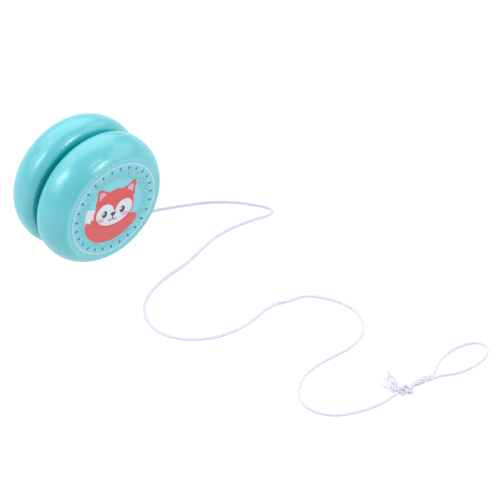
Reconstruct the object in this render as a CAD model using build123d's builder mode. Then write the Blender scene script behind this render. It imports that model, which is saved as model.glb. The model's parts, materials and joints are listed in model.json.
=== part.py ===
"""A turned wooden yo-yo that stands on its two rims, with its string laid out on the floor.

Millimetres. +Z is up, the spin axis runs along Y, the printed front faces -Y, and the origin is on
the floor under the middle of the yo-yo. The string is wound round the axle, drops through the slot
and lies on the floor as far as its knotted finger loop.
"""

import os
from math import radians, tan

from build123d import *

os.makedirs("parts", exist_ok=True)

# Driving dimensions of the yo-yo
diameter = 55.0
width = 32.8  # over the two wooden faces
slot_width = 2.5  # between the halves at the hub
face_radius = 22.7  # where the flat face meets the outer rounding
outer_rounding = 12.0
inner_rounding = 5.2
slot_edge_radius = 24.8  # where the inner rounding meets the slot's flat wall
slot_edge_fillet = 2.0
face_edge_chamfer = 0.25
axle_diameter = 6.0
bore_depth = 11.5
bore_chamfer = 0.4
press = 0.01  # radial interference of the glued axle
end_gap = 0.3  # left for glue at each end of the axle
print_radius = 20.4
print_thickness = 0.1

# Driving dimensions of the string
cord_diameter = 1.3
cord_height = 0.66  # of its centre where it lies on the floor
running_clearance = 0.05  # between the axle and the innermost turn
winding_width = 2.2  # two turns pressed together side by side
winding_radius = 9.75

# Worked out from the above
rim_radius = diameter / 2
half_width = width / 2
slot_wall = slot_width / 2
axle_radius = axle_diameter / 2


def rounding_depth(rounding, edge_radius):
    """How far along the spin axis a rounding of the rim runs, down to where it is cut at a radius."""
    return (rounding**2 - (edge_radius - rim_radius + rounding) ** 2) ** 0.5


outer_depth = rounding_depth(outer_rounding, face_radius)
inner_depth = rounding_depth(inner_rounding, slot_edge_radius)
spin_axis = Axis((0, 0, rim_radius), (0, 1, 0))
section = Plane.XY.offset(rim_radius)  # local X is the radius and local Y the spin axis


def wooden_half(name, side):
    """One turned half. side is -1 for the front and +1 for the rear."""
    face = side * half_width
    wall = side * slot_wall
    rim_out = side * (half_width - outer_depth)
    rim_in = side * (slot_wall + inner_depth)
    with BuildPart() as half:
        with BuildSketch(section):
            with BuildLine():
                Line((0, wall), (slot_edge_radius, wall))
                RadiusArc((slot_edge_radius, wall), (rim_radius, rim_in), -side * inner_rounding)
                Line((rim_radius, rim_in), (rim_radius, rim_out))
                RadiusArc((rim_radius, rim_out), (face_radius, face), -side * outer_rounding)
                Line((face_radius, face), (0, face))
                Line((0, face), (0, wall))
            make_face()
        revolve(axis=spin_axis)
        slot_face, flat_face = half.faces().filter_by(GeomType.PLANE).sort_by(Axis.Y)[:: side]
        chamfer(flat_face.edges(), face_edge_chamfer)
        fillet(slot_face.edges(), slot_edge_fillet)
        with Locations(Plane(origin=(0, wall, rim_radius), z_dir=(0, -side, 0))):
            Hole(axle_radius, depth=bore_depth)
        mouth = half.edges().filter_by(GeomType.CIRCLE)
        mouth = mouth.filter_by(lambda e: abs(e.radius - axle_radius) < 0.01).sort_by(Axis.Y)
        chamfer(mouth[0 if side > 0 else -1], bore_chamfer)
    finish(half, name)


def printed_disc(name, side):
    """A round transfer on the flat face, a tenth of a millimetre thick."""
    with BuildPart() as disc:
        with BuildSketch(Plane(origin=(0, side * half_width, rim_radius), z_dir=(0, side, 0))):
            Circle(print_radius)
        extrude(amount=print_thickness)
    finish(disc, name)


def axle_dowel():
    """The plain dowel that is glued into both halves."""
    length = slot_width + 2 * (bore_depth - end_gap)
    with BuildPart() as dowel:
        with BuildSketch(Plane(origin=(0, -length / 2, rim_radius), z_dir=(0, 1, 0))):
            Circle(axle_radius + press)
        extrude(amount=length)
        chamfer(dowel.faces().filter_by(GeomType.PLANE).edges(), bore_chamfer)
    finish(dowel, "axle")


def winding():
    """The outer shape of the turns that stay on the axle."""
    bore = axle_radius + press + running_clearance
    with BuildPart() as turns:
        with BuildSketch(section):
            with Locations(((bore + winding_radius) / 2, 0)):
                Rectangle(winding_radius - bore, winding_width)
        revolve(axis=spin_axis)
        rims = turns.edges().filter_by(GeomType.CIRCLE).group_by(SortBy.RADIUS)[-1]
        fillet(rims, cord_diameter / 2 - 0.05)
    finish(turns, "string_winding")


def tube(name, route):
    """A round cord along straight runs joined by arcs, each as large as its two runs allow."""
    points = [Vector(*p) for p in route]
    runs = [(b - a) for a, b in zip(points, points[1:])]
    radii = []
    for before, after in zip(runs, runs[1:]):
        half_turn = radians(before.get_angle(after)) / 2
        radii.append(0.45 * min(before.length, after.length) / tan(half_turn))
    with BuildPart() as cord:
        with BuildLine() as middle:
            FilletPolyline(*points, radius=radii)
        path = middle.wire()
        with BuildSketch(Plane(origin=path @ 0, z_dir=path % 0)) as round_section:
            Circle(cord_diameter / 2)
        sweep(path=path)
    length = path.length
    ratio = cord.part.volume / (round_section.sketch.area * length)
    print(f"{name}: {length:.1f} mm long, volume over section times length {ratio:.4f}")
    print("  radii", " ".join(f"{r:.1f}" for r in radii))
    finish(cord, name)


def spindles(name, *shapes):
    """Round bodies that swell between two ends. Each is (start, end, start, middle, end radius)."""
    with BuildPart() as lump:
        for start, end, first, middle, last in shapes:
            along = Vector(*end) - Vector(*start)
            length = along.length
            plane = Plane(origin=start, x_dir=along, z_dir=along.cross(Vector(0, 0, 1)))
            with BuildSketch(plane):
                with BuildLine():
                    Line((0, 0), (0, first))
                    ThreePointArc((0, first), (length / 2, middle), (length, last))
                    Line((length, last), (length, 0))
                    Line((length, 0), (0, 0))
                make_face()
            revolve(axis=Axis(start, along))
    finish(lump, name)


def finish(piece, name):
    piece.part.label = name
    export_step(piece.part, f"parts/{name}.step")


def on_floor(points):
    return [(x, y, cord_height) for x, y in points]


# The string drops from the winding through the slot, then lies in loose curves on the floor.
drop = [(9.1, 0.0, 27.5), (9.3, 0.0, 18.5), (10.6, -0.1, 9.6), (14.2, -0.2, 2.6)]
laid = [
    (20.8, -0.6),
    (29.0, -3.3),
    (39.5, -8.5),
    (50.5, -14.6),
    (58.6, -22.1),
    (63.6, -29.2),
    (65.9, -34.0),
    (63.4, -36.0),
    (58.4, -34.3),
    (50.5, -32.2),
    (40.5, -31.3),
    (31.0, -33.0),
    (20.0, -36.1),
    (7.0, -36.7),
    (-4.9, -40.5),
    (-12.2, -48.5),
    (-13.5, -58.0),
    (-8.8, -67.7),
    (1.6, -75.0),
    (12.4, -77.2),
    (22.4, -76.2),
    (29.2, -74.7),
    (35.4, -77.8),
    (42.8, -79.2),
    (49.2, -88.0),
    (52.1, -98.7),
    (47.2, -109.2),
    (36.8, -112.4),
    (25.0, -110.8),
    (13.6, -111.2),
    (5.0, -116.8),
    (2.3, -125.6),
    (7.3, -134.6),
    (17.0, -139.4),
    (26.3, -141.7),
]
knot_end = (33.4, -141.9, 1.0)
string_route = drop + on_floor(laid) + [knot_end]

# The finger loop opens where the string's folded-back tail ends.
loop_route = on_floor(
    [
        (47.0, -142.9),
        (50.9, -143.0),
        (54.9, -139.9),
        (59.4, -138.4),
        (64.8, -138.0),
        (70.4, -138.9),
        (74.9, -141.4),
        (75.9, -145.6),
        (73.0, -148.4),
        (67.6, -149.9),
        (60.8, -149.3),
        (54.9, -147.1),
        (51.0, -144.2),
        (47.2, -144.1),
    ]
)

wooden_half("front_half", -1)
wooden_half("rear_half", 1)
axle_dowel()
printed_disc("front_print", -1)
printed_disc("rear_print", 1)
winding()
tube("string", string_route)
spindles("string_knot", ((30.4, -75.7, 1.25), (34.8, -77.7, 1.25), 0.7, 1.2, 0.7))
spindles("finger_knot", ((32.9, -140.7, 2.05), (38.4, -142.8, 1.85), 0.9, 2.0, 1.1))
spindles("loop_tail", ((37.4, -142.3, 1.45), (49.6, -143.5, 0.95), 1.0, 1.2, 0.55))
tube("finger_loop", loop_route)
spindles(
    "frayed_ends",
    ((34.2, -140.6, 1.3), (36.6, -131.0, 1.3), 0.5, 0.9, 0.3),
    ((33.8, -140.4, 1.3), (33.4, -130.4, 1.0), 0.4, 0.7, 0.3),
)
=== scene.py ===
"""The looks of a turned wooden yo-yo with a printed fox, and of its twisted cotton string.

Metres, in the frame of the CAD model: +Z up, the spin axis along Y, the printed front towards -Y.
"""

import json
from math import cos, pi, radians, sin, tau

import bmesh
import bpy
import numpy as np
from mathutils import Matrix, Vector


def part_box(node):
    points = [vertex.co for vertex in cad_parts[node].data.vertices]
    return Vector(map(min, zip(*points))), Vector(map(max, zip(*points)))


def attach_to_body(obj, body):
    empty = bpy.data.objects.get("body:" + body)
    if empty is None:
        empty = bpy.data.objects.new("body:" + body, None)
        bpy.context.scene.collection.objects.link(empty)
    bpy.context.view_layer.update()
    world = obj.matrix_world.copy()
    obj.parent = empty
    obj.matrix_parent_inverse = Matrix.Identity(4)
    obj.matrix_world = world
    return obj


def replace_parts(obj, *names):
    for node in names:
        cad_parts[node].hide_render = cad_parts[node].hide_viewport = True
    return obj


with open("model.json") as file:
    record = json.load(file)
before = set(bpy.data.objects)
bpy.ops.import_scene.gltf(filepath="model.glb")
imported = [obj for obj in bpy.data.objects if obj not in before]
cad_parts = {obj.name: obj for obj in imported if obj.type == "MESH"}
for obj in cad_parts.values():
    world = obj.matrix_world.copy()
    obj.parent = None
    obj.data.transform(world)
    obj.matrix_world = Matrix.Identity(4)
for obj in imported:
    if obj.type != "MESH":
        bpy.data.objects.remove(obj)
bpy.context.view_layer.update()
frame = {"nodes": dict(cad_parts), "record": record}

MM = 0.001

# The string's route: the CAD model's, a little higher for its plies, and further into the finger knot
CORD_DIAMETER = 0.0013
CORD_HEIGHT = 0.00074  # of its centre where it lies on the floor
DROP = [(0.0091, 0.0, 0.0275), (0.0093, 0.0, 0.0185), (0.0106, -0.0001, 0.0096), (0.0142, -0.0002, 0.0026)]
LAID = [
    (0.0208, -0.0006),
    (0.0290, -0.0033),
    (0.0395, -0.0085),
    (0.0505, -0.0146),
    (0.0586, -0.0221),
    (0.0636, -0.0292),
    (0.0659, -0.0340),
    (0.0634, -0.0360),
    (0.0584, -0.0343),
    (0.0505, -0.0322),
    (0.0405, -0.0313),
    (0.0310, -0.0330),
    (0.0200, -0.0361),
    (0.0070, -0.0367),
    (-0.0049, -0.0405),
    (-0.0122, -0.0485),
    (-0.0135, -0.0580),
    (-0.0088, -0.0677),
    (0.0016, -0.0750),
    (0.0124, -0.0772),
    (0.0224, -0.0762),
    (0.0292, -0.0747),
    (0.0354, -0.0778),
    (0.0428, -0.0792),
    (0.0492, -0.0880),
    (0.0521, -0.0987),
    (0.0472, -0.1092),
    (0.0368, -0.1124),
    (0.0250, -0.1108),
    (0.0136, -0.1112),
    (0.0050, -0.1168),
    (0.0023, -0.1256),
    (0.0073, -0.1346),
    (0.0170, -0.1394),
    (0.0263, -0.1417),
]
KNOT_END = (0.0349, -0.1416, 0.0014)
LOOP = [
    (0.0470, -0.1429),
    (0.0509, -0.1430),
    (0.0549, -0.1399),
    (0.0594, -0.1384),
    (0.0648, -0.1380),
    (0.0704, -0.1389),
    (0.0749, -0.1414),
    (0.0759, -0.1456),
    (0.0730, -0.1484),
    (0.0676, -0.1499),
    (0.0608, -0.1493),
    (0.0549, -0.1471),
    (0.0510, -0.1442),
    (0.0472, -0.1441),
]

# The turns that stay on the axle
TURNS = 11
POINTS_PER_TURN = 16
FIRST_TURN_RADIUS = 0.00361
LAYER_PITCH = 0.0011
LANE = 0.00055  # each of the two lanes' distance from the middle of the slot
CROSSING_SHARE = 0.25  # of a turn, where the string steps to the next lane or layer

# How the string is laid up
STEP = 0.00025  # between the points of its middle line
PLIES = 3
PLY_SIDES = 8
PLY_RADIUS = 0.00041
PLY_OFFSET = 0.00032  # of a ply's middle from the string's
PRESSED = 0.75  # how thick the string is on the axle, as a share of where it is free
TWIST_PITCH = 0.0044
LONGEST_FIBRE = 0.0011
GOLDEN_ANGLE = pi * (3 - 5**0.5)

# Where painted shade darkens the slot and painted light brightens the flat faces, as distances from the
# middle plane of the yo-yo
SLOT_SHADE = (0.0012, 0.0016)
FLAT_FACE_LIGHT = (0.0162, 0.0164)

# The print's mottled band, by radius
MOTTLED_FROM = (0.0131, 0.0140)
MOTTLED_TO = (0.0170, 0.0182)
MOTTLED_WOBBLE = 0.004
INK = 0.00002  # how much each layer of print stands above the one under it

# What is printed, in millimetres
RING_RADII = (20.17, 19.83)
DASH_CIRCLE = 18.2
DASHES = 27
PEN_WIDTH = 0.38
FOX_TILT = radians(-13)


def srgb(red, green, blue):
    """A linear colour from the 0 to 255 values that a screen shows."""
    linear = [((c / 255 + 0.055) / 1.055) ** 2.4 if c > 10 else c / 255 / 12.92 for c in (red, green, blue)]
    return (*linear, 1.0)


# Materials


class Graph:
    """A new material's node tree, with short ways to add and join its nodes."""

    def __init__(self, name):
        self.material = bpy.data.materials.new(name)
        self.material.use_nodes = True
        self.tree = self.material.node_tree
        self.shader = self.tree.nodes["Principled BSDF"]

    def feed(self, socket, value):
        if isinstance(value, bpy.types.NodeSocket):
            self.tree.links.new(value, socket)
        else:
            socket.default_value = value

    def node(self, kind, inputs, **settings):
        made = self.tree.nodes.new("ShaderNode" + kind)
        for key, value in settings.items():
            setattr(made, key, value)
        for key, value in inputs.items():
            self.feed(made.inputs[key], value)
        return made

    def math(self, operation, *values):
        return self.node("Math", dict(enumerate(values)), operation=operation).outputs[0]

    def mix(self, share, first, second):
        inputs = {0: share, 6: first, 7: second}
        return self.node("Mix", inputs, data_type="RGBA").outputs[2]

    def noise(self, place, scale, detail=2.0, roughness=0.5):
        inputs = {"Vector": place, "Scale": scale, "Detail": detail, "Roughness": roughness}
        return self.node("TexNoise", inputs).outputs["Fac"]

    def stretched(self, place, x, y, z):
        return self.node("Mapping", {"Vector": place, "Scale": (x, y, z)}).outputs[0]

    def span(self, value, low, high, new_low=0.0, new_high=1.0):
        """value brought from low..high to new_low..new_high, and held there."""
        return self.node("MapRange", {0: value, 1: low, 2: high, 3: new_low, 4: new_high}).outputs[0]

    def bump(self, height, distance):
        return self.node("Bump", {"Height": height, "Distance": distance, "Strength": 1.0}).outputs[0]

    def place(self):
        return self.node("TexCoord", {}).outputs["Object"]

    def finish(self, **inputs):
        for key, value in inputs.items():
            self.feed(self.shader.inputs[key.replace("_", " ")], value)
        return self.material


def painted_wood():
    """Turquoise paint over turned wood, whose fine grain shows only where the lacquer shines, with painted
    shade in the slot and painted light on the flat faces.
    """
    graph = Graph("painted_wood")
    place = graph.place()
    grain = graph.noise(graph.stretched(place, 1.0, 1.0, 0.15), 700.0, 1.0)
    cloud = graph.noise(place, 70.0, 3.0)
    colour = graph.mix(graph.span(cloud, 0.3, 0.7), srgb(77, 173, 182), srgb(85, 179, 188))
    depth = graph.math("ABSOLUTE", graph.node("SeparateXYZ", {0: place}).outputs["Y"])
    clear_of_slot_shade = graph.span(depth, *SLOT_SHADE)
    # Painted shade: the slot's walls take a deep, dark teal for the shade and coloured bounced light in the
    # slot, and lose their coat
    colour = graph.mix(clear_of_slot_shade, srgb(18, 180, 187), colour)
    # Painted light: the paint on the flat faces, round the print, is made lighter for the light that falls
    # on them
    colour = graph.mix(graph.span(depth, *FLAT_FACE_LIGHT), colour, srgb(103, 186, 193))
    surface = graph.bump(grain, 0.000002)
    return graph.finish(
        Base_Color=colour,
        Roughness=0.5,
        Specular_IOR_Level=0.1,
        Normal=surface,
        Coat_Weight=graph.math("MULTIPLY", clear_of_slot_shade, 0.65),
        Coat_IOR=1.8,
        Coat_Roughness=graph.span(grain, 0.35, 0.65, 0.18, 0.3),
        Coat_Normal=surface,
    )


def bare_wood():
    """Beech dowel, with its grain along the axle."""
    graph = Graph("bare_wood")
    place = graph.place()
    grain = graph.noise(graph.stretched(place, 1.0, 0.06, 1.0), 900.0, 4.0, 0.6)
    flecks = graph.noise(graph.stretched(place, 1.0, 0.15, 1.0), 2400.0, 1.0)
    colour = graph.mix(graph.span(grain, 0.3, 0.7), srgb(214, 181, 138), srgb(189, 150, 104))
    colour = graph.mix(graph.span(flecks, 0.66, 0.74, 0.0, 0.6), colour, srgb(150, 108, 70))
    return graph.finish(Base_Color=colour, Roughness=0.6, Normal=graph.bump(grain, 0.00004))


def print_film():
    """The transfer's turquoise ground, with a mottled watercolour band inside its ring."""
    graph = Graph("print_film")
    place = graph.place()
    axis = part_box("axle")
    parts = graph.node("SeparateXYZ", {0: place})
    across = parts.outputs["X"]
    up = graph.math("SUBTRACT", parts.outputs["Z"], (axis[0].z + axis[1].z) / 2)
    squares = graph.math("ADD", graph.math("POWER", across, 2.0), graph.math("POWER", up, 2.0))
    radius = graph.math("SQRT", squares)
    cosine = graph.math("DIVIDE", across, radius)
    sine = graph.math("DIVIDE", up, radius)
    outward = graph.math("MULTIPLY", radius, 60.0)
    round_place = graph.node("CombineXYZ", {0: cosine, 1: sine, 2: outward}).outputs[0]
    petals = graph.noise(round_place, 7.0, 2.0)
    strokes = graph.noise(round_place, 17.0, 2.0, 0.6)
    blots = graph.noise(place, 480.0, 2.0, 0.6)
    wobble = graph.math("MULTIPLY", graph.math("SUBTRACT", petals, 0.5), MOTTLED_WOBBLE)
    wavy = graph.math("ADD", radius, wobble)
    inside = graph.span(wavy, *MOTTLED_FROM)
    outside = graph.span(wavy, *MOTTLED_TO, 1.0, 0.0)
    band = graph.math("MULTIPLY", inside, outside)
    wash = graph.math("MULTIPLY", band, graph.span(strokes, 0.44, 0.6, 1.0, 0.2))
    wash = graph.math("MULTIPLY", wash, graph.span(blots, 0.3, 0.55, 0.55, 1.0))
    # Partly painted light: the ground is the print's own turquoise, made lighter than the body's paint for
    # the light that the flat face catches
    colour = graph.mix(wash, srgb(106, 189, 202), srgb(84, 168, 176))
    light = graph.math("MULTIPLY", band, graph.span(strokes, 0.55, 0.62, 0.0, 0.6))
    colour = graph.mix(light, colour, srgb(128, 197, 209))
    return graph.finish(
        Base_Color=colour,
        Roughness=0.42,
        Normal=graph.bump(blots, 0.000008),
        Coat_Weight=0.35,
        Coat_Roughness=0.2,
    )


def ink(name, light, dark, speck=None):
    """A printed ink with faint brush streaks between two tones, and fine specks where given."""
    graph = Graph(name)
    place = graph.place()
    streaks = graph.noise(graph.stretched(place, 1.0, 1.0, 0.35), 420.0, 4.0, 0.6)
    colour = graph.mix(graph.span(streaks, 0.35, 0.65), light, dark)
    if speck:
        dots = graph.noise(place, 3000.0, 1.0)
        colour = graph.mix(graph.span(dots, 0.66, 0.74, 0.0, 0.5), colour, speck)
    return graph.finish(
        Base_Color=colour,
        Roughness=0.42,
        Normal=graph.bump(streaks, 0.000006),
        Coat_Weight=0.3,
        Coat_Roughness=0.2,
    )


def cotton():
    """Soft white cotton with a lavender cast. Fibres run along each ply, which the UV map follows."""
    graph = Graph("cotton")
    along = graph.node("UVMap", {}, uv_map="ply").outputs[0]
    fibres = graph.noise(graph.stretched(along, 0.35, 9.0, 1.0), 1.0, 3.0, 0.65)
    tufts = graph.noise(graph.stretched(along, 0.8, 2.0, 1.0), 1.0, 2.0)
    colour = graph.mix(graph.span(fibres, 0.3, 0.7), srgb(205, 203, 217), srgb(213, 211, 226))
    colour = graph.mix(graph.span(tufts, 0.62, 0.75, 0.0, 0.3), colour, srgb(197, 195, 210))
    return graph.finish(
        Base_Color=colour,
        Roughness=0.9,
        Specular_IOR_Level=0.2,
        Subsurface_Weight=0.1,
        Subsurface_Radius=(1.0, 0.9, 1.0),
        Subsurface_Scale=0.0006,
        Normal=graph.bump(fibres, 0.00004),
    )


# Mesh work


def drawn(points, segments_per_point=24):
    """Evenly spaced points on the smooth line that has these control points."""
    curve = bpy.data.curves.new("route", "CURVE")
    curve.dimensions = "3D"
    spline = curve.splines.new("NURBS")
    spline.points.add(len(points) - 1)
    for point, place in zip(spline.points, points):
        point.co = (*place, 1.0)
    spline.order_u = 3
    spline.use_endpoint_u = True
    spline.resolution_u = segments_per_point
    holder = bpy.data.objects.new("route", curve)
    mesh = bpy.data.meshes.new_from_object(holder)
    line = np.array([v.co for v in mesh.vertices], float)
    bpy.data.meshes.remove(mesh)
    bpy.data.curves.remove(curve)
    return line


def travelled(line):
    """How far along the line each of its points is."""
    steps = np.linalg.norm(np.diff(line, axis=0), axis=1)
    return np.concatenate([[0.0], np.cumsum(steps)])


def spaced(line, step=STEP):
    """The line again, with points about step apart."""
    along = travelled(line)
    at = np.linspace(0.0, along[-1], max(3, round(along[-1] / step) + 1))
    return np.stack([np.interp(at, along, line[:, k]) for k in range(3)], axis=1)


def directions(line):
    """Along the line, and two directions across it that turn as little as they can."""
    along = np.gradient(line, axis=0)
    along /= np.linalg.norm(along, axis=1)[:, None]
    side = np.empty_like(line)
    first = np.cross(along[0], (0.3, 0.2, 0.9))
    side[0] = first / np.linalg.norm(first)
    for i in range(1, len(line)):
        turned = side[i - 1] - along[i] * (side[i - 1] @ along[i])
        side[i] = turned / np.linalg.norm(turned)
    return along, side, np.cross(along, side)


def beside(line, side, up, distance, angle):
    """The line again, moved aside by a distance and at an angle that may vary along it."""
    return line + (distance * np.cos(angle))[:, None] * side + (distance * np.sin(angle))[:, None] * up


def plies(line, offset=PLY_OFFSET, pitch=TWIST_PITCH):
    """The middle lines of the plies that twist round a line. offset may vary along it."""
    _, side, up = directions(line)
    turn = np.linspace(0.0, tau * travelled(line)[-1] / pitch, len(line))
    return [beside(line, side, up, offset, turn + tau * k / PLIES) for k in range(PLIES)]


def tubes(name, lines, radii, sides, material):
    """Closed round tubes along lines, in one mesh.

    Its UV map runs along each tube, in millimetres, and once round it.
    """
    points, quads, caps, marks = [], [], [], []
    here = np.arange(sides)[None, :]
    there = (here + 1) % sides
    angle = here[:, :, None] * tau / sides
    start = 0
    for line, radius in zip(lines, radii):
        _, side, up = directions(line)
        ring = np.cos(angle) * side[:, None, :] + np.sin(angle) * up[:, None, :]
        radius = np.broadcast_to(radius, len(line))[:, None, None]
        points.append((line[:, None, :] + radius * ring).reshape(-1, 3))
        row = start + np.arange(len(line) - 1)[:, None] * sides
        after = row + sides
        corners = [row + here, row + there, after + there, after + here]
        quads.append(np.stack(corners, -1).reshape(-1, 4))
        along = travelled(line)[:, None] / MM
        v = np.broadcast_to(here / sides, (len(line) - 1, sides))
        next_v = v + 1 / sides
        low, high = np.broadcast_to(along[:-1], v.shape), np.broadcast_to(along[1:], v.shape)
        marks.append(np.stack([low, v, low, next_v, high, next_v, high, v], -1).reshape(-1, 2))
        last = start + (len(line) - 1) * sides
        caps += [list(range(start + sides - 1, start - 1, -1)), list(range(last, last + sides))]
        start += len(line) * sides
    mesh = bpy.data.meshes.new(name)
    mesh.from_pydata(np.concatenate(points).tolist(), [], np.concatenate(quads).tolist() + caps)
    layer = mesh.uv_layers.new(name="ply")
    marks = np.concatenate([*marks, np.zeros((len(caps) * sides, 2))])
    layer.data.foreach_set("uv", marks.astype(np.float32).ravel())
    mesh.polygons.foreach_set("use_smooth", [True] * len(mesh.polygons))
    mesh.materials.append(material)
    return linked(name, mesh)


def linked(name, data):
    piece = bpy.data.objects.new(name, data)
    bpy.context.scene.collection.objects.link(piece)
    return piece


def attach(piece, body):
    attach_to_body(piece, body)
    return piece


# The string


def winding_route():
    """Control points of the turns on the axle, from the first to where the string drops away."""
    low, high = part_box("axle")
    height = (low.z + high.z) / 2
    swell = 1 / cos(pi / POINTS_PER_TURN)  # the line cuts inside its control points

    def lane_and_radius(turn):
        lane = -LANE if turn % 4 in (0, 3) else LANE
        return np.array([lane, FIRST_TURN_RADIUS + turn // 2 * LAYER_PITCH])

    points = []
    for i in range(TURNS * POINTS_PER_TURN):
        turn, share = divmod(i / POINTS_PER_TURN, 1)
        here = lane_and_radius(turn)
        after = lane_and_radius(turn + 1) if turn < TURNS - 1 else np.array([0.0, here[1]])
        crossed = max(0.0, (share - 1) / CROSSING_SHARE + 1)
        lane, radius = here + (after - here) * crossed
        angle = tau * share
        points.append((swell * radius * cos(angle), lane, height - swell * radius * sin(angle)))
    return points


def on_floor(points):
    return [(x, y, CORD_HEIGHT) for x, y in points]


def stands_for(piece, *nodes):
    """A piece of the string that is shown in place of these CAD nodes."""
    attach(piece, "string")
    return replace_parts(piece, *nodes)


def middle_of(node):
    low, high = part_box(node)
    return np.array((low + high) / 2)


def nearest(line, place):
    """The number of the line's point that is nearest to a place."""
    return int(np.linalg.norm(line - np.array(place), axis=1).argmin())


def coil(start, end, radius, turns):
    """A helix from one point to another."""
    steps_per_turn = 24
    share = np.linspace(0.0, 1.0, round(turns * steps_per_turn) + 1)
    line = start + share[:, None] * (end - start)
    _, side, up = directions(line)
    return beside(line, side, up, radius, tau * turns * share)


def overhand_knot(middle, size, facing, turn, height):
    """The line of a drawn-up overhand knot, size across, whose flat side faces a direction."""
    t = np.linspace(0.0, tau, 181)
    across = np.sin(t) + 2 * np.sin(2 * t)
    upward = np.cos(t) - 2 * np.cos(2 * t)
    outward = -2 * height * np.sin(3 * t)
    turned = Vector(facing).to_track_quat("Z", "Y").to_matrix() @ Matrix.Rotation(turn, 3, "Z")
    outer = 3.85  # the radius of this line's knot, with its string
    line = np.stack([across, upward, outward], 1)
    return middle + line @ np.array(turned).T * (size / 2 / outer)


def yarns(line, count, spread, seed, twist, wander):
    """Lines that fill a bundle round a line. spread is the bundle's radius along it."""
    rng = np.random.default_rng(seed)
    _, side, up = directions(line)
    share = np.linspace(0.0, 1.0, len(line))
    found = []
    for k in range(count):
        phase = rng.uniform(0, tau, 2)
        sway = np.sin(tau * share * rng.uniform(0.6, 1.6) + phase[0])
        swell = np.sin(tau * share * rng.uniform(1.0, 2.5) + phase[1])
        angle = k * GOLDEN_ANGLE + twist * tau * share + wander * sway
        out = ((k + 0.5) / count) ** 0.5
        found.append(beside(line, side, up, spread * out * (1 + 0.25 * wander * swell), angle))
    return found


def lifted(line, height):
    """The line again, with nothing of it under a height."""
    line = line.copy()
    line[:, 2] = np.maximum(line[:, 2], height)
    return line


def thinned_out(count, radius, tip_share=0.3):
    """The radius along a yarn or fibre that thins towards its end."""
    share = np.linspace(0.0, 1.0, count)
    return radius * np.minimum(1.0, (1 - share) / tip_share + 0.15)


def small_knot(line, material):
    """Two short coils half-way along the string, with the doubled end that they hold."""
    at = nearest(line, middle_of("string_knot"))
    step = np.linalg.norm(line[at + 1] - line[at])
    # Points of the string by their distance along it from the knot's middle, in millimetres
    here = {distance: line[at + round(distance * MM / step)] for distance in (-1.3, 0.1, 0.6, 1.8)}
    raised = np.array([0.0, 0.0, 0.0001])
    turns = [
        coil(here[-1.3] + raised, here[0.1] + raised, 0.00052, 1.6),
        coil(here[0.6] + raised, here[1.8] + raised, 0.0005, 1.3),
    ]
    tight, loose = 0.0002, 0.00026  # how far the plies are from their middle line
    lines = [lifted(ply, tight) for turn in turns for ply in plies(turn, tight)]
    radii = [0.00022] * len(lines)
    doubled = line[at - round(8.0 * MM / step) : at - round(1.0 * MM / step)]
    _, side, _ = directions(doubled)
    aside = 0.0008 * np.sin(np.linspace(0.5, 2.6, len(doubled)))
    for ply in plies(doubled + side * aside[:, None], loose):
        lines.append(lifted(ply, 0.00024))
        radii.append(thinned_out(len(ply), loose)[::-1])
    return stands_for(tubes("string_hitch", lines, radii, PLY_SIDES, material), "string_knot")


def finger_knot(material):
    """The bulky knot that closes the finger loop: four overhand knots in one another."""
    middle = middle_of("finger_knot")
    towards_camera = (-0.44, -0.60, 0.67)
    crossings = [
        # offset from the middle, size, facing, turn, height and ply radius. Lengths in millimetres
        ((-0.3, -0.1, 0.0), 4.3, towards_camera, 0.4, 0.55, 0.34),
        ((-0.1, 0.0, 0.1), 3.4, (0.5, -0.5, 0.7), 1.3, 0.7, 0.32),
        ((1.5, -1.8, -0.5), 3.0, (-0.2, -0.6, 0.77), 2.2, 0.6, 0.29),
        ((-1.2, -1.2, -0.8), 2.3, (0.3, -0.5, 0.8), 0.8, 0.6, 0.26),
    ]
    pitch = 0.0036
    lines, radii = [], []
    for offset, size, facing, turn, height, radius in crossings:
        knot = overhand_knot(middle + np.array(offset) * MM, size * MM, facing, turn, height)
        for ply in plies(spaced(knot, 0.0001), radius * MM, pitch):
            lines.append(lifted(ply, radius * MM))
            radii.append(radius * MM)
    return stands_for(tubes("finger_double_knot", lines, radii, PLY_SIDES, material), "finger_knot")


def loop_tail(loop_line, material):
    """The untwisted, fluffy stretch between the finger knot and the loop."""
    start = middle_of("finger_knot") + np.array([0.0012, -0.0006, -0.0003])
    end = (loop_line[0] + loop_line[-1]) / 2 + np.array([0.0030, -0.0001, 0.0])
    line = spaced(np.linspace(start, end, 40), 0.0002)
    share = np.linspace(0.0, 1.0, len(line))
    line[:, 1] += 0.0004 * np.sin(pi * share)
    stations = [0.0, 0.2, 0.4, 0.6, 0.75, 0.88, 1.0]
    spread = np.interp(share, stations, [0.6, 0.85, 1.1, 1.25, 1.1, 0.6, 0.3]) * MM
    bundle = yarns(line, 34, spread, seed=4, twist=0.6, wander=0.25)
    lines = [lifted(yarn, 0.00025) for yarn in bundle]
    radius = 0.00026 * np.interp(share, [0.0, 0.85, 1.0], [1.0, 1.0, 0.5])
    tail = tubes("loop_tail_yarns", lines, [radius] * len(lines), PLY_SIDES, material)
    return stands_for(tail, "loop_tail")


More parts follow.
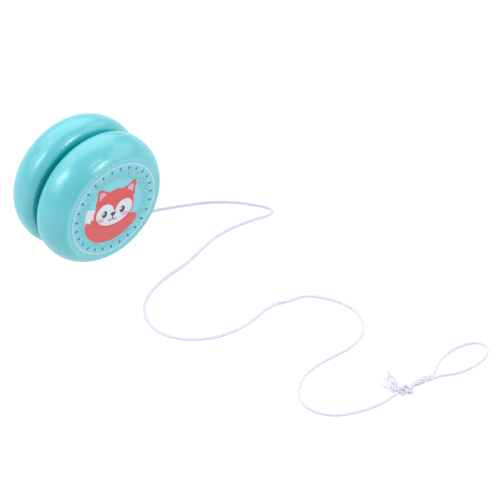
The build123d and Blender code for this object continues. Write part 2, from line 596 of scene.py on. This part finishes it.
def frayed_ends(material):
    """The string's loose ends, which have come apart into yarns and fibres beside the knot."""
    rng = np.random.default_rng(11)
    tufts = [
        # how many yarns, how far they spread, how thick each is and their route, in millimetres
        (14, 0.55, 0.22, [
            (32.8, -141.2, 1.2), (31.8, -139.4, 1.2), (32.5, -137.0, 1.1),
            (34.2, -134.6, 1.0), (36.6, -132.4, 0.9), (39.9, -129.3, 0.7),
        ]),
        (7, 0.45, 0.21, [
            (33.2, -141.0, 1.8), (32.9, -139.6, 1.8), (33.6, -137.7, 1.6),
            (35.4, -135.3, 1.4), (38.9, -130.8, 0.8),
        ]),
        (7, 0.45, 0.19, [
            (34.0, -141.2, 1.9), (35.6, -138.9, 1.7), (36.9, -136.4, 1.3),
            (37.3, -133.9, 1.1), (38.6, -131.4, 0.8),
        ]),
        (8, 0.8, 0.18, [(33.4, -141.2, 1.6), (33.6, -139.2, 1.6), (34.9, -137.2, 1.3), (36.0, -135.2, 1.0)]),
        (5, 0.25, 0.18, [
            (33.0, -139.0, 0.9), (32.5, -136.4, 0.5), (31.7, -134.4, 0.4),
            (32.6, -132.0, 0.3), (35.9, -128.6, 0.3),
        ]),
        (5, 0.25, 0.17, [
            (33.0, -138.4, 0.9), (33.4, -135.8, 0.5), (34.9, -133.8, 0.4),
            (35.4, -131.4, 0.3), (35.6, -129.2, 0.3),
        ]),
    ]
    lines, radii = [], []
    for count, spread, radius, route in tufts:
        line = spaced(drawn(route), 0.2) * MM
        share = np.linspace(0.0, 1.0, len(line))
        fanned = spread * MM * np.interp(share, [0.0, 0.35, 0.7, 1.0], [0.6, 1.0, 0.7, 0.2])
        for yarn in yarns(line, count, fanned, seed=7, twist=0.2, wander=0.5):
            cut = yarn[: max(4, round(len(yarn) * rng.uniform(0.8, 1.0)))]
            lines.append(lifted(cut, radius * MM))
            radii.append(thinned_out(len(cut), radius * MM, 0.4))
    return stands_for(tubes("frayed_yarns", lines, radii, 6, material), "frayed_ends")


def fuzz(name, line, core, count, longest, seed, material):
    """Fine fibres that stand off a stretch of string, from near its surface. core is its radius."""
    rng = np.random.default_rng(seed)
    along, side, up = directions(line)
    share = np.linspace(0.0, 1.0, 6)[:, None]
    lines, radii = [], []
    for _ in range(count):
        i = rng.integers(2, len(line) - 2)
        angle = rng.uniform(0, tau)
        out = np.cos(angle) * side[i] + np.sin(angle) * up[i]
        round_it = np.cross(along[i], out)
        length = longest * rng.uniform(0.35, 1.0)
        lean = rng.uniform(-1.0, 1.0)
        swing = rng.uniform(-0.5, 0.5)
        rise = (0.35 + 0.3 * (1 - share)) * out
        bend = lean * along[i] * share + swing * share**2 * round_it
        fibre = line[i] + 0.8 * core * out + length * share * (rise + bend)
        lines.append(lifted(fibre, 0.00003))
        radii.append(thinned_out(len(fibre), 0.00002, 0.5))
    return attach(tubes(name, lines, radii, 4, material), "string")


def string_pieces(material):
    """The string from its first turn to the finger knot, the finger loop, and what is on them."""
    route = winding_route() + DROP + on_floor(LAID) + [KNOT_END]
    line = spaced(drawn(route))
    leaves, lands = nearest(line, DROP[0]), nearest(line, DROP[-1])
    loose = np.interp(np.arange(len(line)), [leaves, lands], [PRESSED, 1.0])
    radii = [PLY_RADIUS * loose] * PLIES
    strands = tubes("string_cord", plies(line, PLY_OFFSET * loose), radii, PLY_SIDES, material)
    string = stands_for(strands, "string", "string_winding")
    loop_line = spaced(drawn(on_floor(LOOP)))
    strands = tubes("finger_loop_cord", plies(loop_line), [PLY_RADIUS] * PLIES, PLY_SIDES, material)
    loop = stands_for(strands, "finger_loop")
    free = line[lands:]
    along_tail = np.array([0.0098, -0.0012, -0.0006])
    tail = middle_of("loop_tail") + np.linspace(-0.5, 0.5, 60)[:, None] * along_tail
    on_string = [
        small_knot(line, material),
        finger_knot(material),
        loop_tail(loop_line, material),
        frayed_ends(material),
        fuzz("string_fuzz", free, CORD_DIAMETER / 2, 1500, LONGEST_FIBRE, 1, material),
        fuzz("tail_fuzz", tail, 0.0009, 260, 0.0013, 2, material),
    ]
    on_loop = [fuzz("finger_loop_fuzz", loop_line, CORD_DIAMETER / 2, 300, LONGEST_FIBRE, 3, material)]


# The printed faces, drawn in millimetres from the middle of the face, with v up


def ellipse(u, v, wide, high, tilt=0.0, count=12):
    """Points round an ellipse about (u, v)."""
    angle = np.arange(count) * tau / count
    x, y = wide * np.cos(angle), high * np.sin(angle)
    return [(u + a * cos(tilt) - b * sin(tilt), v + a * sin(tilt) + b * cos(tilt)) for a, b in zip(x, y)]


def mirrored(points):
    return [(-u, v) for u, v in points]


def ribbon(points, width):
    """The outline of a pen stroke along a few points."""
    line = spaced(drawn([(u, v, 0.0) for u, v in points], 8), 0.25)
    across = np.stack([-np.gradient(line[:, 1]), np.gradient(line[:, 0])], 1)
    across *= width / 2 / np.linalg.norm(across, axis=1)[:, None]
    flat = line[:, :2]
    return [tuple(p) for p in np.concatenate([flat + across, (flat - across)[::-1]])]


def shape(points, corners=(), hole=None):
    """The flat, filled mesh inside a smooth closed outline, with sharp corners where they are named."""
    curve = bpy.data.curves.new("outline", "CURVE")
    curve.dimensions = "2D"
    curve.fill_mode = "BOTH"
    curve.resolution_u = 8
    curve.extrude = 0.5
    for outline in [points] + ([hole] if hole else []):
        spline = curve.splines.new("BEZIER")
        spline.bezier_points.add(len(outline) - 1)
        spline.use_cyclic_u = True
        for i, (knot, place) in enumerate(zip(spline.bezier_points, outline)):
            kind = "VECTOR" if i in corners and outline is points else "AUTO"
            knot.co = (*place, 0.0)
            knot.handle_left_type = kind
            knot.handle_right_type = kind
    holder = bpy.data.objects.new("outline", curve)
    mesh = bpy.data.meshes.new_from_object(holder)
    bpy.data.curves.remove(curve)
    return mesh


def printed(name, outlines, layer, material, side, tilt=0.0):
    """Ink in closed outlines on a face, as one piece. side is -1 for the front and +1 for the rear.

    Each layer reaches from just inside the face to its own height, and covers the lower layers.
    """
    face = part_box("front_print")[0].y if side < 0 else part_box("rear_print")[1].y
    height = middle_of("axle")[2]
    to_face = (
        Matrix.Translation((0.0, face, height))
        @ Matrix.Rotation(0.0 if side < 0 else pi, 4, "Z")
        @ Matrix.Rotation(pi / 2, 4, "X")
        @ Matrix.Translation((0.0, 0.0, (layer - 0.5) * INK / 2))
        @ Matrix.Rotation(tilt, 4, "Z")
        @ Matrix.Diagonal((MM, MM, (layer + 0.5) * INK, 1.0))
    )
    work = bmesh.new()
    for mesh in outlines:
        work.from_mesh(mesh)
    bmesh.ops.remove_doubles(work, verts=work.verts, dist=0.0001)
    bmesh.ops.transform(work, matrix=to_face, verts=work.verts)
    bmesh.ops.recalc_face_normals(work, faces=work.faces)
    made = bpy.data.meshes.new(name)
    work.to_mesh(made)
    work.free()
    made.materials.append(material)
    return attach(linked(name, made), "yo_yo")


def fox(prefix, side, inks):
    """A simple fox that lies curled round, with the tip of its tail beside its face."""
    ear = [(-8.8, 3.0), (-9.4, 7.4), (-9.1, 10.9), (-8.6, 11.2), (-5.9, 9.9), (-3.3, 8.2), (-5.0, 3.5)]
    inner_ear = [(-8.1, 5.8), (-8.3, 9.3), (-7.9, 9.6), (-5.3, 8.2), (-6.6, 7.3)]
    half_head = [(-3.4, 8.7), (-7.2, 6.4), (-9.3, 2.8), (-9.8, -1.5), (-7.7, -5.6), (-3.7, -7.4)]
    head = [(0.0, 9.4)] + half_head + [(0.0, -7.9)] + mirrored(half_head)[::-1]
    half_mask = [(-1.8, 2.1), (-4.8, 3.3), (-7.8, 2.0), (-8.9, -1.2), (-7.1, -4.6), (-3.8, -6.6)]
    mask = half_mask + [(0.0, -7.2)] + mirrored(half_mask)[::-1]
    mask = [(0.6, -1.2)] + [(u + 0.3, v + 0.1) for u, v in mask]
    body = [(-9.5, -1.0), (-13.75, -2.4), (-13.4, -6.0), (-11.0, -10.2), (-6.6, -13.5), (-0.8, -14.7)]
    body += [(4.8, -14.0), (9.3, -11.2), (12.4, -8.1), (12.6, -6.0), (10.8, -4.7), (8.8, -4.5), (0.0, -6.0)]
    tail_tip = [(-13.5, 3.5), (-14.0, 0.6), (-13.8, -3.3), (-12.7, -2.4)]
    tail_tip += [(-11.3, -3.7), (-10.7, -1.8), (-9.4, -2.5), (-9.0, 1.5)]
    nose = [(-1.25, -1.6), (0.0, -1.2), (1.25, -1.6), (0.8, -2.6), (0.0, -3.1), (-0.8, -2.6)]
    smile = [(0.0, -2.9), (0.0, -4.0), (-0.6, -4.9), (-1.45, -4.9), (-1.9, -4.1)]
    eyes = [(-4.4, -1.2), (4.4, -1.2)]

    def put(name, layer, ink_name, *meshes):
        printed(f"{prefix}_{name}", meshes, layer, inks[ink_name], side, FOX_TILT)

    put("fox_body", 1, "coat_shade", shape(body, corners=(0, 1)))
    put("fox_tail_tip", 2, "white", shape(tail_tip, corners=(0, 2, 3, 4, 5, 6)))
    put("fox_ears", 3, "coat", shape(ear), shape(mirrored(ear)))
    put("fox_head", 4, "coat", shape(head))
    inner_ears = [shape(outline, corners=(0,)) for outline in (inner_ear, mirrored(inner_ear))]
    put("fox_inner_ears", 5, "pink", *inner_ears)
    put("fox_mask", 5, "white", shape(mask, corners=(0,)))
    put("fox_cheeks", 6, "pink", *[shape(ellipse(u, -3.7, 1.6, 0.9)) for u in (-6.0, 6.0)])
    put("fox_eyes", 6, "black", *[shape(ellipse(u, v, 1.25, 1.6)) for u, v in eyes])
    glints = [shape(ellipse(u - 0.6, v + 0.45, 0.42, 0.55, count=8)) for u, v in eyes]
    put("fox_glints", 7, "white", *glints)
    put("fox_nose", 6, "black", shape(nose))
    strokes = [shape(ribbon(stroke, PEN_WIDTH)) for stroke in (smile, mirrored(smile))]
    put("fox_smile", 6, "black", *strokes)


def ring_and_dashes(prefix, side, inks):
    """The white line round the print and the ring of short strokes inside it."""
    outer, inner = [ellipse(0.0, 0.0, radius, radius, count=48) for radius in RING_RADII]
    printed(f"{prefix}_ring", [shape(outer, hole=inner)], 1, inks["white"], side)
    dashes = []
    for k in range(DASHES):
        angle = pi / 2 + tau * k / DASHES
        u, v = DASH_CIRCLE * cos(angle), DASH_CIRCLE * sin(angle)
        dashes.append(shape(ellipse(u, v, 0.75, 0.44, angle, 8)))
    printed(f"{prefix}_dashes", dashes, 1, inks["violet"], side)


def printed_faces():
    inks = {
        "coat": ink("fox_coat_ink", srgb(202, 60, 61), srgb(194, 54, 58), srgb(168, 50, 54)),
        "coat_shade": ink("fox_body_ink", srgb(201, 71, 77), srgb(193, 66, 75), srgb(164, 56, 66)),
        "white": ink("white_ink", srgb(199, 206, 214), srgb(192, 201, 211)),
        "pink": ink("pink_ink", srgb(197, 155, 173), srgb(190, 147, 167)),
        "black": ink("black_ink", srgb(38, 36, 44), srgb(52, 50, 58)),
        "violet": ink("violet_ink", srgb(56, 54, 140), srgb(70, 70, 154)),
    }
    for prefix, side in (("front", -1), ("rear", 1)):
        ring_and_dashes(prefix, side, inks)
        fox(prefix, side, inks)


# The studio


def studio():
    """A floor that glows white, so that it shows next to no shadow, a white world and six softboxes."""
    floor_size = 3.0
    mesh = bpy.data.meshes.new("floor")
    corners = [(-1, -1), (1, -1), (1, 1), (-1, 1)]
    mesh.from_pydata([(floor_size * x, floor_size * y, 0.0) for x, y in corners], [], [(0, 1, 2, 3)])
    graph = Graph("floor")
    white = graph.finish(
        Base_Color=(0.10, 0.10, 0.10, 1.0),
        Roughness=0.9,
        Emission_Color=(1.0, 1.0, 1.0, 1.0),
        Emission_Strength=1.0,
    )
    mesh.materials.append(white)
    linked("floor", mesh)

    world = bpy.data.worlds.new("white_studio")
    world.use_nodes = True
    background = world.node_tree.nodes["Background"]
    background.inputs["Color"].default_value = (1.0, 1.0, 1.0, 1.0)
    background.inputs["Strength"].default_value = 0.65
    bpy.context.scene.world = world

    middle = Vector((0.0, 0.0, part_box("axle")[1].z))
    # The two on the left give each half its left highlight and a soft sheen round it, the two narrow
    # ones in front its front highlight. The large one behind lights the tops, and the last one the
    # string and the printed face.
    softbox("left_softbox", middle, 156, 42, 0.9, (0.32, 0.36), 6.0)
    softbox("left_screen", middle, 150, 38, 1.2, (1.2, 1.0), 1.05)
    softbox("front_softbox", middle, -74, 40, 0.9, (0.36, 0.12), 13.0)
    softbox("front_strip", middle, -78, 60, 0.9, (0.40, 0.08), 6.0)
    softbox("back_softbox", middle, 66, 45, 1.4, (1.9, 1.5), 1.65)
    softbox("fill_softbox", middle, -22, 32, 1.2, (1.2, 0.7), 1.5)


def softbox(name, target, azimuth, elevation, distance, size, radiance):
    """A rectangular area light that faces the target. Its radiance is relative to a white screen's."""
    wide, high = size
    light = bpy.data.lights.new(name, "AREA")
    light.shape = "RECTANGLE"
    light.size = wide
    light.size_y = high
    light.energy = radiance * pi * wide * high
    azimuth, elevation = radians(azimuth), radians(elevation)
    direction = Vector((cos(elevation) * cos(azimuth), cos(elevation) * sin(azimuth), sin(elevation)))
    lamp = linked(name, light)
    lamp.location = target + direction * distance
    lamp.rotation_euler = direction.to_track_quat("Z", "Y").to_euler()


def camera():
    """Looks down on the yo-yo and its string from the front left, through a long lens."""
    azimuth, elevation = radians(-40.9), radians(42.5)
    aim = Vector((0.0439, -0.0455, 0.0))
    distance = 1.1145
    forward = Vector((-sin(azimuth) * cos(elevation), cos(azimuth) * cos(elevation), -sin(elevation)))
    data = bpy.data.cameras.new("camera")
    data.angle = radians(10.03)
    view = linked("camera", data)
    view.location = aim - forward * distance
    view.rotation_euler = forward.to_track_quat("-Z", "Y").to_euler()
    bpy.context.scene.camera = view
    bpy.context.scene.view_settings.view_transform = "Standard"


camera()
studio()
cotton_material = cotton()
string_pieces(cotton_material)
printed_faces()

materials = {"painted_wood": painted_wood(), "bare_wood": bare_wood(), "print_film": print_film()}
for row in frame["record"]["subparts"]:
    if row["material_slot"] in materials:
        node = frame["nodes"][row["node"]]
        for place in node.material_slots:
            place.material = materials[row["material_slot"]]
